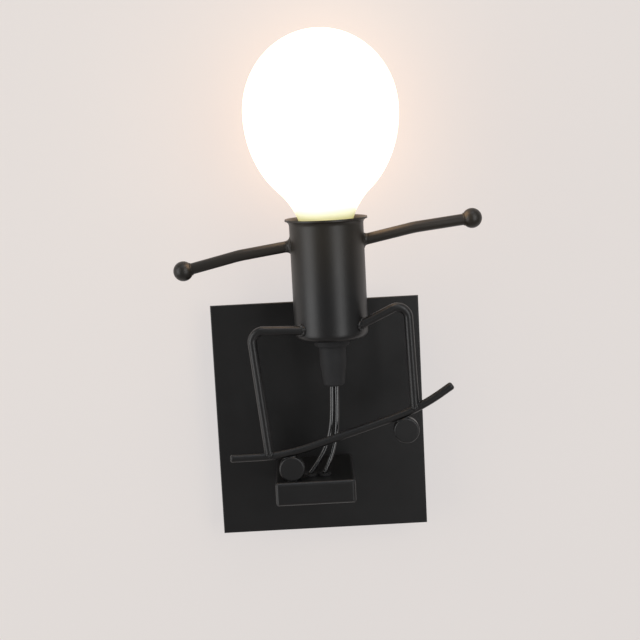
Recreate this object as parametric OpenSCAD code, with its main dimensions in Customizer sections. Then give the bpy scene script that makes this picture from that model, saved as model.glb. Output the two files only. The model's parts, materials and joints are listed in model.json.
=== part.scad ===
// Wall lamp in the shape of a stick figure that rides a skateboard on a ledge.
// The wall is the plane y = 0, the lamp stands out from it towards -Y, and +Z is up.

/* [Wall plate] */
// Width of the wall plate
plate_w = 136.8; // [124:0.2:170]
// Height of the wall plate
plate_h = 154.6; // [130:0.2:200]
// Distance of the plate's face from the wall
plate_depth = 20; // [18:0.5:30]
// Thickness of the sheet of the plate and of the tray behind it
plate_sheet = 1.5; // [1:0.1:2]
// Radius of the plate's front edges
plate_edge_r = 0.7; // [0.3:0.1:0.9]
// Distance of the tray's side walls from the plate's edges
tray_inset = 5; // [3:0.5:10]
// Outer radius of the tray's corners
tray_bend_r = 2.2; // [2.2:0.1:5]

/* [Mounting bar] */
// Width of the mounting bar
bar_w = 24; // [20:1:34]
// Thickness of the bar's strip
bar_sheet = 2; // [1.5:0.1:2.5]
// Height of the bar's end tabs above the wall
tab_h = 13; // [11:0.5:15]
// Gap between each tab and the tray's side wall
tab_gap = 0.4; // [0.2:0.1:1]
// Distance between the middles of the two wall-screw slots
slot_spacing = 90; // [89:0.5:104]
// Width of a wall-screw slot
slot_w = 4.5; // [4:0.1:6]
// Length of a wall-screw slot from end to end
slot_len = 14; // [8:0.5:16]
// Diameter of the hole for the supply cable
cable_hole_d = 12; // [8:0.5:14]
// Thread diameter of the side screws that lock the plate on the bar
side_screw_d = 4; // [3:0.5:5]
// Length of a side screw
side_screw_len = 6; // [5:0.5:9]

/* [Terminals] */
// Distance between neighbouring poles of the terminal block
pole_pitch = 9; // [8.5:0.1:9.5]
// Length of the terminal block along its wires
block_len = 17; // [14:0.5:20]
// Height of the terminal block above the bar
block_h = 12; // [11:0.5:14]
// Distance of the terminal block's middle from the cable hole
block_away = 21; // [20.5:0.1:22.5]
// Outer diameter of a terminal barrel
barrel_d = 4.6; // [4.4:0.1:5]
// Bore of a terminal barrel
barrel_bore = 3.2; // [3.1:0.05:3.5]
// Thread diameter of the terminal screws
terminal_screw_d = 2.4; // [2:0.1:2.6]
// Thread diameter of the earth screw
earth_screw_d = 4; // [3:0.5:5]
// Distance of the earth screw from the cable hole
earth_away = 20; // [16:0.5:24]

/* [Ledge] */
// Width of the ledge
ledge_w = 50; // [44:1:70]
// Height of the ledge
ledge_h = 15; // [14.2:0.2:22]
// How far the ledge stands out from the plate's face
ledge_reach = 63; // [50:1:80]
// Thickness of the ledge's sheet
ledge_sheet = 1.5; // [1:0.1:1.8]
// Outer radius of the ledge's folded edges
ledge_bend_r = 2.2; // [2.1:0.1:3]
// Sideways distance of the ledge's middle from the plate's middle
ledge_x = -5.3; // [-15:0.1:5]
// Distance of the ledge's top below the plate's middle
ledge_drop = 27.25; // [20:0.25:40]
// Distance of the two wire holes behind the ledge's front
wire_hole_back = 16; // [12:0.5:24]
// Distance between the two wire holes
wire_hole_spacing = 9; // [8.6:0.2:11]
// Sideways distance of the wire holes' middle from the ledge's middle
wire_hole_x = 1.7; // [0:0.1:4]
// Diameter of the passage for the wires through the plate
plate_hole_d = 8.6; // [8.4:0.1:9.2]

/* [Skateboard] */
// Diameter of the skateboard's bar
board_d = 5; // [4:0.1:7]
// Length of the tail up to its corner with the deck
tail_len = 34; // [28:0.5:45]
// Length of the deck between its two corners
deck_len = 88; // [76:0.5:110]
// Length of the nose up to its corner with the deck
nose_len = 26; // [22:0.5:40]
// Tilt of the deck, in degrees
deck_tilt = 16.6; // [8:0.2:24]
// Angle by which the tail and the nose turn up from the deck, in degrees
kick_angle = 16.5; // [8:0.5:20]
// Radius of the two bends of the bar
kick_bend_r = 120; // [60:5:130]
// Diameter of a wheel
wheel_d = 16; // [13:0.5:22]
// Thickness of a wheel
wheel_w = 7; // [5:0.5:10]
// Rounding of a wheel's edges
wheel_edge_r = 1.2; // [0.6:0.1:2]
// Depth of a wheel's welded seats
wheel_seat = 0.5; // [0.3:0.1:1]
// Distance of the wheels' middle plane behind the ledge's front
wheel_back = 7; // [5:0.5:9]
// Sideways distance of the rear wheel from the ledge's middle
rear_wheel_x = -14; // [-17:0.5:-11]
// Distance of the rear wheel along the bar from its tail
rear_wheel_at = 36.5; // [30:0.5:44]
// Distance of the front wheel along the bar from its tail
front_wheel_at = 110; // [95:0.5:115]

/* [Legs] */
// Diameter of the leg rods
leg_d = 5.6; // [4:0.1:6.4]
// Inner bend at the knees, measured to the rod's middle
knee_bend_r = 7; // [5:0.5:12]
// Distance of the legs' plane in front of the cup's axis
hip_forward = 13; // [8:0.5:15]
// Height of the left thigh above the cup's floor where it leaves the cup
left_hip_h = 7.5; // [6:0.1:14]
// Length of the left thigh from the cup to its corner
left_thigh = 31; // [24:0.5:40]
// Angle at which the left thigh rises towards the knee, in degrees
left_thigh_rise = 2.4; // [-10:0.2:20]
// Height of the right thigh above the cup's floor where it leaves the cup
right_hip_h = 9.5; // [6:0.1:14]
// Length of the right thigh from the cup to its corner
right_thigh = 31; // [24:0.5:40]
// Angle at which the right thigh rises towards the knee, in degrees
right_thigh_rise = 25; // [10:0.2:32]
// Distance of the left foot along the bar from its tail
left_foot_at = 24.5; // [16:0.5:28]
// Distance of the right foot along the bar from its tail
right_foot_at = 120; // [116:0.5:130]

/* [Cup] */
// Outer diameter of the cup
cup_d = 46; // [43:0.5:52]
// Height of the cup
cup_h = 75; // [72:0.5:90]
// Thickness of the cup's sheet
cup_sheet = 1.2; // [0.8:0.1:1.5]
// Outer radius of the cup's bottom edge
cup_edge_r = 4.5; // [2:0.1:5]
// How far the flared lip reaches out over the cup's wall
lip_reach = 2.6; // [1.5:0.1:4]
// Radius of the lip's flare
lip_flare_r = 3; // [2.4:0.1:6]
// Sideways distance of the cup's axis from the ledge's middle
cup_x = 15; // [10:0.5:20]
// Height of the cup's floor above the ledge's top
cup_rise = 86.5; // [80:0.5:100]

/* [Arms] */
// Diameter of the arm rods
arm_d = 7; // [4:0.1:8]
// Length of an upper arm from the cup's side
upper_arm = 31.9; // [24:0.1:45]
// Length of a forearm to the middle of the hand
forearm = 36; // [28:0.5:50]
// Height of the left shoulder above the cup's floor
left_shoulder_h = 58.6; // [40:0.2:64]
// Angle at which the left upper arm rises, in degrees
left_arm_rise = -7.7; // [-20:0.1:20]
// Height of the right shoulder above the cup's floor
right_shoulder_h = 60.2; // [40:0.2:64]
// Angle at which the right upper arm rises, in degrees
right_arm_rise = 11; // [-20:0.1:20]
// Angle by which each forearm drops below the line of its upper arm, in degrees
elbow_drop = 5; // [2:0.1:20]
// Radius of the bend at the elbows
elbow_bend_r = 60; // [20:1:90]
// Diameter of the ball hands
hand_d = 12.4; // [9:0.2:18]

/* [Cord grip] */
// Diameter of the cord grip's flange under the cup
grip_flange_d = 22; // [18:0.5:26]
// Thickness of the cord grip's flange
grip_flange_h = 5.2; // [3:0.1:7]
// Diameter of the cord grip below its flange
grip_d = 16.5; // [14:0.1:18]
// Depth below the cup at which the cord grip begins to taper
grip_straight = 15; // [10:0.5:20]
// Diameter of the cord grip's lower end
grip_tip_d = 13.2; // [11:0.1:14]
// Length of the cord grip
grip_len = 30.2; // [24:0.2:34]
// Bore of the cord grip for the two wires
grip_bore = 6.4; // [6.2:0.1:7]
// Thread diameter of the hollow nipple
nipple_d = 10; // [9.6:0.1:11]
// Bore of the nipple
nipple_bore = 7.6; // [7.2:0.1:8]
// How far the nipple reaches into the cord grip
nipple_reach = 11.5; // [8:0.5:14]
// Thickness of the lock nut
nut_h = 3; // [2:0.1:3.5]
// Width of the lock nut across its flats
nut_af = 14; // [13:0.5:17]
// Thickness of the toothed washer
washer_h = 0.8; // [0.5:0.1:1]
// Diameter of the wires over their insulation
wire_d = 2.8; // [2.4:0.1:2.9]

/* [Lampholder] */
// Outer diameter of the ceramic lampholder
holder_d = 38; // [37:0.2:39]
// Height of the lampholder's base
base_h = 28; // [27:0.2:30]
// Thickness of the base's floor round the nipple
base_floor = 8; // [6:0.2:9]
// Thickness of the base's roof under the socket
base_roof = 6; // [5:0.2:7]
// Width of the wiring window through the base
window_w = 27; // [24:0.2:28]
// Height of the socket's barrel
barrel_h = 30; // [27:0.2:32]
// Height of the centre contact's tongue
tongue_h = 4.5; // [4:0.1:5.5]
// Thickness of the tongue's strip
tongue_sheet = 0.5; // [0.3:0.1:0.7]
// Thread diameter of the contact screws and the holder's long screws
holder_screw_d = 2.6; // [2.2:0.1:2.8]
// Distance of the live contact screw from the axis
live_screw_x = 5.5; // [5.2:0.1:5.8]
// Distance of the neutral contact screw from the axis
neutral_screw_x = 7.9; // [7:0.1:8.4]

/* [Screw thread] */
// Diameter over the crests of the bulb's thread
thread_d = 26.2; // [26:0.05:26.5]
// Depth of the rolled thread
thread_depth = 1; // [0.8:0.05:1.1]
// Pitch of the thread
thread_pitch = 3.629; // [3.6:0.001:3.66]
// Radial clearance between the bulb's thread and the socket's
thread_clear = 0.4; // [0.3:0.05:0.5]
// Sheet thickness of the two threaded shells
thread_sheet = 0.4; // [0.3:0.05:0.5]

/* [Bulb] */
// Diameter of the glass globe
globe_d = 95; // [80:0.5:110]
// Height of the globe's crown above its middle
crown_h = 50; // [44:0.5:56]
// Depth that the globe's belly would have below its middle without a neck
belly_h = 59.5; // [54:0.5:64]
// Height of the globe's middle above the cap
globe_rise = 72.5; // [66:0.5:80]
// Angle below the globe's middle at which the neck begins, in degrees
neck_from = 53; // [48:0.2:56]
// Radius of the neck's hollow curve
neck_bend_r = 44; // [38:0.5:50]
// Thickness of the glass
glass = 1.2; // [0.8:0.1:1.6]
// Height of the cap's threaded shell
cap_h = 24; // [22:0.2:25]
// Height of the cap's insulator
insulator_h = 3.6; // [3:0.1:4.5]
// Diameter of the bulb's centre contact
contact_d = 9; // [8:0.1:10]
// Thickness of the bulb's centre contact
contact_h = 1.8; // [1.4:0.1:2.4]
// Length of a light filament
filament_len = 38; // [30:0.5:44]
// Diameter of a light filament
filament_d = 2.2; // [1.6:0.1:3]
// Distance of the filaments from the axis
filament_r = 14; // [10:0.5:18]

/* [Hidden] */
$fn = 48;

// Finishes
black_paint = "#1d1c1d";
zinc = "#b9bcc0";
brass = "#c8a350";
bronze = "#b07a4a";
ceramic = "#ece7dc";
nylon_black = "#161617";
nylon_white = "#e6e4dc";
rubber_black = "#141415";
opal = "#fffdf6";
clear_glass = "#dfe9ea";
board_green = "#2f6b48";

// Clearances of fixed fits, of contacts that meet, and the overlap of cutting tools
snug = 0.05;
contact_gap = 0.1;
over = 1;

// Bends of a rod are a hair thicker than its runs, which lap into them
bend_swell = 0.02;
bend_lap = 0.4;

// Fasteners: head sizes as shares of the thread, slots and their depth
head_ratio = 1.65;
head_h_ratio = 0.6;
slot_share = 0.25;

// Places along the depth: the plate's face, the ledge's front, the figure and the cup's axis
plate_face = -plate_depth;
tray_w = plate_w - 2 * tray_inset;
tray_h = plate_h - 2 * tray_inset;
ledge_front = plate_face - ledge_reach;
figure_y = ledge_front + wheel_back;
cup_y = figure_y + hip_forward;

// Places of the ledge
ledge_top = -ledge_drop;
ledge_mid = ledge_top - ledge_h / 2;
wire_hole_y = ledge_front + wire_hole_back;
wire_holes = [for (s = [-1, 1]) ledge_x + wire_hole_x + s * wire_hole_spacing / 2];

// Grommets: flange width and thickness, wall, and their play round a wire
grommet_lip = 1.2;
grommet_lip_h = 1.2;
grommet_wall = 1;
wire_play = 0.3;
ledge_hole_d = wire_d + 3;

// Places inside the tray
bar_half = tray_w / 2 - plate_sheet - tab_gap;
tab_screw_y = -(bar_sheet + tab_h) / 2;
block_front = -bar_sheet - block_h;
barrel_y = -bar_sheet - block_h / 2;
poles = [for (i = [-1 : 1]) i * pole_pitch - block_away];
block_wall = 4.5;
block_screw_x = -block_away - pole_pitch / 2;
block_screw_seat = barrel_y - barrel_d / 2 - 0.6;
block_w = 2 * pole_pitch + 2 * block_wall;
barrel_len = block_len - 1;
terminal_screw_z = barrel_len / 4;
lug_sheet = 0.8;
lug_ring = 2;
lug_crimp_from = 5;
lug_crimp_len = 5;
lug_crimp_wall = 0.8;
lug_crimp_y = -bar_sheet - wire_d / 2 - lug_crimp_wall - snug;

// Places of the figure: the cup's axis and floor in the lamp's frame
cup_place = [ledge_x + cup_x, cup_y, ledge_top + cup_rise];
cup_r = cup_d / 2;

// Thighs: where they leave the cup, and how far they lap into the space that it cuts from them
hip_out = sqrt(pow(cup_r, 2) - pow(hip_forward, 2));
hip_lap = leg_d;

// Skateboard: lengths along its bar, from the tail's end to the nose's end
kick_cut = kick_bend_r * tan(kick_angle / 2);
kick_run = kick_bend_r * kick_angle * PI / 180;
tail_end = tail_len - kick_cut;
deck_from = tail_end + kick_run;
deck_to = deck_from + deck_len - 2 * kick_cut;
nose_from = deck_to + kick_run;
wheel_drop = wheel_d / 2 + board_d / 2 - wheel_seat;

// Depth of the feet's seats on the board, and the steps of a rounded corner of the cup
foot_sink = 1.5;
corner_steps = 8;

// Cord grip: the bevels of its edges; washer: its notches
grip_edge = 1;
washer_teeth = 8;
tooth_gap = 2.2;

// Lampholder: heights above the cup's floor
washer_z = cup_sheet;
nut_z = washer_z + washer_h;
base_z = nut_z + nut_h;
roof_z = base_z + base_h;
socket_top = roof_z + barrel_h;
nipple_top = base_z + base_floor - 1;
terminal_h = 7;
terminal_w = 7;
terminal_z = roof_z - base_roof - terminal_h;
wire_sink = 4;
contact_bite = 2.5;
tongue_w = 6;
tongue_ramp = 3;
tongue_tip = 5;
shell_plain_h = 7;
long_screw_y = 16.5;
long_screw_bite = 5;

// Bulb: heights above the cup's floor at rest, and the sizes of its thread
thread_mid = (thread_d - thread_depth) / 2;
shell_mid = thread_mid + thread_clear;
socket_r = shell_mid + thread_depth / 2 + thread_sheet + 0.2;
flange_r = neutral_screw_x + holder_screw_d / 2 + 0.3;
contact_z = roof_z + tongue_h + contact_gap;
insulator_z = contact_z + contact_h;
cap_z = insulator_z + insulator_h;
cap_top = cap_z + cap_h;
neck_sink = 6;
globe_mid = cap_top + globe_rise;
neck_stub = 1.2;
neck_shoulder_r = 13.2;
thread_rows = 6;
thread_sides = 24;
cap_foot_r = (thread_mid - thread_depth / 2 - thread_sheet) * cos(180 / thread_sides) - snug;
neck_r = cap_foot_r - contact_gap;
insulator_plug = 1.5;
contact_edge = 0.6;
thread_fade = thread_pitch / 2;

// Light source inside the globe
stem_r = 3;
stem_below = 28;
stem_top = globe_mid - stem_below;
stem_flare_h = 8;
filament_lift = 6;
filament_z = stem_top + filament_lift;
lead_d = 0.8;
filament_count = 4;

// Driver board inside the cap
driver_up = 5;
driver_sheet = 1.6;
capacitor_h = 9;
capacitor_d = 8;

// Wires: both from their lampholder terminals to the terminal block, and the earth lead, with the straight
// stubs at their ends and the pulls that shape their curves
wire_sides = 8;
wire_gap = 0.2;
wire_pair = wire_d + wire_gap;
wire_end = 1.5;
terminal_stub = 1;
nipple_stub = 2;
block_stub = 4;
earth_stub = 3;
lug_stub = 2;
holder_pull = 4;
tray_pull = 8;
block_pull = 12;
earth_pull = 16;
function bezier(a, b, c, d, u) =
  pow(1 - u, 3) * a + 3 * u * pow(1 - u, 2) * b + 3 * u * u * (1 - u) * c + u * u * u * d;
// Points of a curve that leaves a along the pull out and reaches b along the pull in
function bow(a, out, b, in, steps) = [for (i = [1 : steps]) bezier(a, a + out, b - in, b, i / steps)];
function wire_route(side, screw_x, hole_x, pole) =
  let (clamp = cup_place + [screw_x, 0, terminal_z + wire_sink],
       leave = clamp - [0, 0, wire_sink + terminal_stub],
       core = cup_place + [side * wire_pair / 2, 0, nipple_top - nipple_stub],
       tip = [core.x, core.y, cup_place.z - grip_len],
       hole = [hole_x, wire_hole_y, ledge_top + grommet_lip_h],
       swing = hole - tip,
       duct = hole - [0, 0, 2 * grommet_lip_h + ledge_sheet],
       passage = [ledge_x + side * wire_pair / 2, plate_face - grommet_lip_h, ledge_mid],
       tray = passage + [0, 2 * grommet_lip_h + plate_sheet, 0],
       rise = [pole, barrel_y, -block_len / 2 - block_stub])
    concat([clamp, leave], bow(leave, [0, 0, -holder_pull], core, [0, 0, -holder_pull], 8), [tip],
           bow(tip, [0.06 * swing.x, 0, 0.48 * swing.z], hole,
               [0.94 * swing.x, 0.6 * swing.y, 0.34 * swing.z], 12),
           [duct], bow(duct, [0, 0, -ledge_h / 2], passage, [0, 0.4 * ledge_reach, 0], 10), [tray],
           bow(tray, [0, tray_pull, 0], rise, [0, 0, block_pull], 8), [[pole, barrel_y, -wire_end]]);
neutral_route = wire_route(-1, -neutral_screw_x, wire_holes[0], poles[0]);
live_route = wire_route(1, live_screw_x, wire_holes[1], poles[2]);
earth_from = [poles[1], barrel_y, block_len / 2 + earth_stub];
earth_to = [earth_away, lug_crimp_y, lug_crimp_from + lug_crimp_len + lug_stub];
earth_route = concat([[poles[1], barrel_y, wire_end], earth_from],
                     bow(earth_from, [0, 0, earth_pull], earth_to, [0, 0, -earth_pull], 10),
                     [[earth_away, lug_crimp_y, lug_crimp_from + contact_gap]]);

// Directions in the figure's plane, X across and Z up
function along(h) = [cos(h), sin(h)];
function across(h) = [-sin(h), cos(h)];
function share(s, from, run) = min(1, max(0, (s - from) / run));

// End of a bend of radius r that starts at p with heading h and turns by t
function bend_end(p, h, t, r) = p + sign(t) * r * (across(h) - across(h + t));

// Heading and place of a point at the length s along the skateboard's bar
function board_heading(s) = deck_tilt - kick_angle
  + kick_angle * share(s, tail_end, kick_run) + kick_angle * share(s, deck_to, kick_run);
function board_local(s) =
  s <= tail_end ? s * along(deck_tilt - kick_angle) :
  s <= deck_from ? bend_end(board_local(tail_end), deck_tilt - kick_angle,
                            kick_angle * (s - tail_end) / kick_run, kick_bend_r) :
  s <= deck_to ? board_local(deck_from) + (s - deck_from) * along(deck_tilt) :
  s <= nose_from ? bend_end(board_local(deck_to), deck_tilt,
                            kick_angle * (s - deck_to) / kick_run, kick_bend_r) :
  board_local(nose_from) + (s - nose_from) * along(deck_tilt + kick_angle);

// The rear wheel stands on the ledge and places the whole board
rear_wheel_c = [ledge_x + rear_wheel_x, ledge_top + wheel_d / 2 - wheel_seat];
board_start = rear_wheel_c + wheel_drop * across(board_heading(rear_wheel_at)) - board_local(rear_wheel_at);
function board_point(s) = board_start + board_local(s);
function wheel_centre(s) = board_point(s) - wheel_drop * across(board_heading(s));

// Sweep of a round tube through the points of a route
function unit(v) = v / norm(v);
function tangent(p, i) = unit(p[min(i + 1, len(p) - 1)] - p[max(i - 1, 0)]);
function square_to(v, t) = unit(v - (v * t) * t);
function frames(p, i, n) = i == len(p) ? [] :
  let (m = square_to(n, tangent(p, i))) concat([m], frames(p, i + 1, m));
function ring(c, t, n, r, sides) =
  [for (j = [0 : sides - 1]) c + r * (cos(360 * j / sides) * n + sin(360 * j / sides) * cross(t, n))];

// Ring of a rolled thread: the radius waves round the axis with the thread's pitch
function thread_ring(z, mid, wave) =
  [for (j = [0 : thread_sides - 1])
    let (a = 360 * j / thread_sides, r = mid + wave * cos(360 * z / thread_pitch - a))
      [r * cos(a), r * sin(a), z]];
function fade(z, low, high) = max(0, min(1, (z - low) / thread_fade, (high - z) / thread_fade));

// Outline of the globe, as radius, height and the outward normal, from its top to its neck
globe_a = globe_d / 2;
neck_lean = atan(globe_a * sin(neck_from) / (belly_h * cos(neck_from)));
neck_arc_r = globe_a * cos(neck_from);
neck_arc_z = globe_mid - belly_h * sin(neck_from);
neck_end_angle = asin(sin(neck_lean) - (neck_arc_z - cap_top - neck_stub) / neck_bend_r);
globe_steps = 36;
neck_steps = 10;
function globe_dome(i) =
  let (t = 90 - (90 + neck_from) * i / globe_steps, b = t > 0 ? crown_h : belly_h,
       n = unit([b * cos(t), globe_a * sin(t)]))
    [globe_a * cos(t), globe_mid + b * sin(t), n.x, n.y];
function globe_neck(i) =
  let (f = neck_lean + (neck_end_angle - neck_lean) * i / neck_steps)
    [neck_arc_r - neck_bend_r * (cos(f) - cos(neck_lean)),
     neck_arc_z - neck_bend_r * (sin(neck_lean) - sin(f)), cos(f), -sin(f)];
globe_outline = concat([for (i = [0 : globe_steps]) globe_dome(i)],
                       [for (i = [1 : neck_steps]) globe_neck(i)]);
function globe_points(inset) =
  [for (p = globe_outline) [max(0, p[0] - inset * p[2]), p[1] - inset * p[3]]];

// Round bars along the axes
module bar_x(from, to, d) {
  translate([from, 0, 0])
    rotate([0, 90, 0])
      cylinder(d = d, h = to - from);
}
module bar_y(from, to, d) {
  translate([0, to, 0])
    rotate([90, 0, 0])
      cylinder(d = d, h = to - from);
}
module bar_z(from, to, d) {
  translate([0, 0, from])
    cylinder(d = d, h = to - from);
}

// Section of a folded channel that is open at the back, with rounded front corners
module channel_section(w, depth, r, back) {
  translate([-w / 2, r - depth])
    square([w, depth - r + back]);
  translate([r - w / 2, -depth])
    square([w - 2 * r, depth + back]);
  for (x = [r - w / 2, w / 2 - r])
    translate([x, r - depth])
      circle(r);
}

// Box folded from sheet, open at the back, with its front edges rounded
module folded_box(w, h, depth, r, back = 0) {
  intersection() {
    linear_extrude(h, center = true)
      channel_section(w, depth, r, back);
    rotate([0, 90, 0])
      linear_extrude(w, center = true)
        channel_section(h, depth, r, back);
  }
}

// Rectangle with rounded corners
module rounded_section(w, h, r) {
  square([w - 2 * r, h], center = true);
  square([w, h - 2 * r], center = true);
  for (x = [-1, 1], y = [-1, 1])
    translate([x * (w / 2 - r), y * (h / 2 - r)])
      circle(r);
}

// Box with every edge but those of its back rounded
module round_box(w, h, depth, r, back = 0) {
  intersection() {
    folded_box(w, h, depth, r, back);
    translate([0, back, 0])
      rotate([90, 0, 0])
        linear_extrude(depth + back)
          rounded_section(w, h, r);
  }
}

// Slotted screw along +Z: its head stands on z = 0 and its shank goes down
module screw(d, shank) {
  head_d = head_ratio * d;
  head_h = head_h_ratio * d;
  difference() {
    union() {
      bar_z(-shank, 0, d);
      bar_z(0, head_h, head_d);
    }
    translate([-head_d, -slot_share * d / 2, head_h / 2])
      cube([2 * head_d, slot_share * d, head_h]);
  }
}

// Grommet along +Z in a sheet whose upper face is z = 0
module grommet(hole_d, bore, sheet) {
  difference() {
    union() {
      bar_z(-sheet, 0, hole_d - 2 * snug);
      bar_z(0, grommet_lip_h, hole_d + 2 * grommet_lip);
      bar_z(-sheet - grommet_lip_h, -sheet, hole_d + 2 * grommet_lip);
    }
    bar_z(-sheet - grommet_lip_h - over, grommet_lip_h + over, bore);
  }
}

// Closed tube through the points of a route
module tube(p, d, sides) {
  count = len(p);
  start = abs(tangent(p, 0).x) < 0.7 ? [1, 0, 0] : [0, 1, 0];
  normals = frames(p, 0, start);
  points = [for (i = [0 : count - 1]) each ring(p[i], tangent(p, i), normals[i], d / 2, sides)];
  walls = [for (i = [0 : count - 2], j = [0 : sides - 1])
    let (k = (j + 1) % sides, a = i * sides, b = a + sides)
      each [[a + j, b + j, b + k], [a + j, b + k, a + k]]];
  first = [for (j = [1 : sides - 2]) [0, j, j + 1]];
  last = [for (j = [1 : sides - 2]) [0, j + 1, j] + (count - 1) * sides * [1, 1, 1]];
  polyhedron(points, concat(walls, first, last));
}

// Closed shell through rings of a thread, outside from its top down and inside up again
module thread_shell(rings) {
  count = len(rings);
  points = [for (r = rings) each r];
  faces = [for (i = [0 : count - 1], j = [0 : thread_sides - 1])
    let (k = (j + 1) % thread_sides, a = i * thread_sides, b = ((i + 1) % count) * thread_sides)
      each [[a + j, a + k, b + k], [a + j, b + k, b + j]]];
  polyhedron(points, faces);
}

// Straight and bent stretches of a rod in the plane y = 0, which start at p with heading h
module rod_run(p, h, run, d) {
  translate([p.x, 0, p.y])
    rotate([90, 0, 0])
      rotate([0, 0, h])
        bar_x(0, run, d);
}
module rod_bend(p, h, t, r, d) {
  centre = p + sign(t) * r * across(h);
  from = t > 0 ? h - 90 : h + 90 + t;
  translate([centre.x, 0, centre.y])
    rotate([90, 0, 0])
      rotate([0, 0, from])
        rotate_extrude(angle = abs(t), $fn = 96)
          translate([r, 0])
            circle(d = d + 2 * bend_swell);
}
module bent_rod(p, h, t, first, last, r, d) {
  bend_from = p + first * along(h);
  rod_run(p, h, first + bend_lap, d);
  rod_bend(bend_from, h, t, r, d);
  rod_run(bend_end(bend_from, h, t, r) - bend_lap * along(h + t), h + t, last + bend_lap, d);
}

// Everything on the cup's axis is placed from the cup's floor
module on_cup() {
  translate(cup_place)
    children();
}

// Wall side

// Block with rounded corners from back behind the wall plane to depth before it
module tray_block(w, h, r, back, depth) {
  translate([0, back, 0])
    rotate([90, 0, 0])
      linear_extrude(depth + back)
        rounded_section(w, h, r);
}

module wall_plate() {
  color(black_paint)
    difference() {
      union() {
        translate([0, plate_face + plate_sheet, 0])
          folded_box(plate_w, plate_h, plate_sheet, plate_edge_r);
        tray_block(tray_w, tray_h, tray_bend_r, 0, plate_depth - plate_sheet / 2);
      }
      tray_block(tray_w - 2 * plate_sheet, tray_h - 2 * plate_sheet, tray_bend_r - plate_sheet, over,
                 plate_depth - plate_sheet);
      translate([ledge_x, 0, ledge_mid])
        bar_y(plate_face - over, plate_face + plate_sheet + over, plate_hole_d);
      translate([0, tab_screw_y, 0])
        bar_x(-plate_w, plate_w, side_screw_d + 2 * snug);
    }
}

module mounting_bar() {
  color(zinc)
    difference() {
      linear_extrude(bar_w, center = true)
        difference() {
          translate([-bar_half, -tab_h])
            square([2 * bar_half, tab_h]);
          translate([bar_sheet - bar_half, -tab_h - over])
            square([2 * (bar_half - bar_sheet), tab_h - bar_sheet + over]);
        }
      bar_y(-bar_sheet - over, over, cable_hole_d);
      for (x = [-1, 1])
        translate([x * slot_spacing / 2, 0, 0]) {
          for (e = [-1, 1])
            translate([e * (slot_len - slot_w) / 2, 0, 0])
              bar_y(-bar_sheet - over, over, slot_w);
          translate([(slot_w - slot_len) / 2, -bar_sheet - over, -slot_w / 2])
            cube([slot_len - slot_w, bar_sheet + 2 * over, slot_w]);
        }
      translate([earth_away, 0, 0])
        bar_y(-bar_sheet - over, over, earth_screw_d + 2 * snug);
      translate([block_screw_x, 0, 0])
        bar_y(-bar_sheet - over, over, terminal_screw_d + 2 * snug);
      translate([0, tab_screw_y, 0])
        bar_x(-plate_w, plate_w, side_screw_d + 2 * snug);
    }
}

module side_screws() {
  color(zinc)
    for (s = [0, 1])
      mirror([s, 0, 0])
        translate([tray_w / 2, tab_screw_y, 0])
          difference() {
            bar_x(-side_screw_len, 0, side_screw_d);
            translate([-slot_share * side_screw_d, -side_screw_d, -slot_share * side_screw_d / 2])
              cube([side_screw_d, 2 * side_screw_d, slot_share * side_screw_d]);
          }
}

module terminal_block() {
  color(nylon_white)
    difference() {
      translate([-block_away - block_w / 2, block_front, -block_len / 2])
        cube([block_w, block_h, block_len]);
      for (x = poles)
        translate([x, 0, 0]) {
          translate([0, barrel_y, 0])
            bar_z(-block_len, block_len, barrel_d + 2 * snug);
          for (z = [-1, 1])
            translate([0, 0, z * terminal_screw_z])
              bar_y(block_front - over, barrel_y, terminal_screw_d + 2 * snug);
        }
      translate([block_screw_x, 0, 0]) {
        bar_y(block_front - over, over, terminal_screw_d + 2 * snug);
        bar_y(block_front - over, block_screw_seat, head_ratio * terminal_screw_d + 2 * contact_gap);
      }
    }
}

module terminal_barrels() {
  color(brass)
    for (x = poles)
      translate([x, barrel_y, 0])
        difference() {
          bar_z(-barrel_len / 2, barrel_len / 2, barrel_d);
          bar_z(-barrel_len, barrel_len, barrel_bore);
          for (z = [-1, 1])
            translate([0, 0, z * terminal_screw_z])
              bar_y(-barrel_d, 0, terminal_screw_d + 2 * snug);
        }
}

module terminal_screws() {
  screw_front = block_front + 1;
  screw_tip = barrel_y - barrel_bore / 2;
  color(zinc)
    for (x = poles, z = [-1, 1])
      translate([x, 0, z * terminal_screw_z])
        difference() {
          bar_y(screw_front, screw_tip, terminal_screw_d);
          translate([-terminal_screw_d, screw_front - over, -slot_share * terminal_screw_d / 2])
            cube([2 * terminal_screw_d, over + slot_share * terminal_screw_d,
                  slot_share * terminal_screw_d]);
        }
}

module block_screw() {
  color(zinc)
    translate([block_screw_x, block_screw_seat, 0])
      rotate([90, 0, 0])
        screw(terminal_screw_d, -block_screw_seat);
}

module earth_screw() {
  color(brass)
    translate([earth_away, -bar_sheet - lug_sheet, 0])
      rotate([90, 0, 0])
        screw(earth_screw_d, bar_sheet + lug_sheet);
}

module earth_lug() {
  ring_d = earth_screw_d + 2 * lug_ring;
  crimp_bore = wire_d + 2 * snug;
  color(zinc)
    translate([earth_away, 0, 0])
      difference() {
        union() {
          bar_y(-bar_sheet - lug_sheet, -bar_sheet, ring_d);
          translate([-lug_ring, -bar_sheet - lug_sheet, 0])
            cube([2 * lug_ring, lug_sheet, lug_crimp_from + lug_crimp_len]);
          translate([0, lug_crimp_y, 0])
            bar_z(lug_crimp_from, lug_crimp_from + lug_crimp_len, crimp_bore + 2 * lug_crimp_wall);
        }
        bar_y(-bar_sheet - lug_sheet - over, -bar_sheet + over, earth_screw_d + 2 * snug);
        translate([0, lug_crimp_y, 0])
          bar_z(lug_crimp_from - over, lug_crimp_from + lug_crimp_len + over, crimp_bore);
      }
}

module earth_lead() {
  color("#4d8a3a")
    tube(earth_route, wire_d, wire_sides);
}

// Ledge

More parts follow.
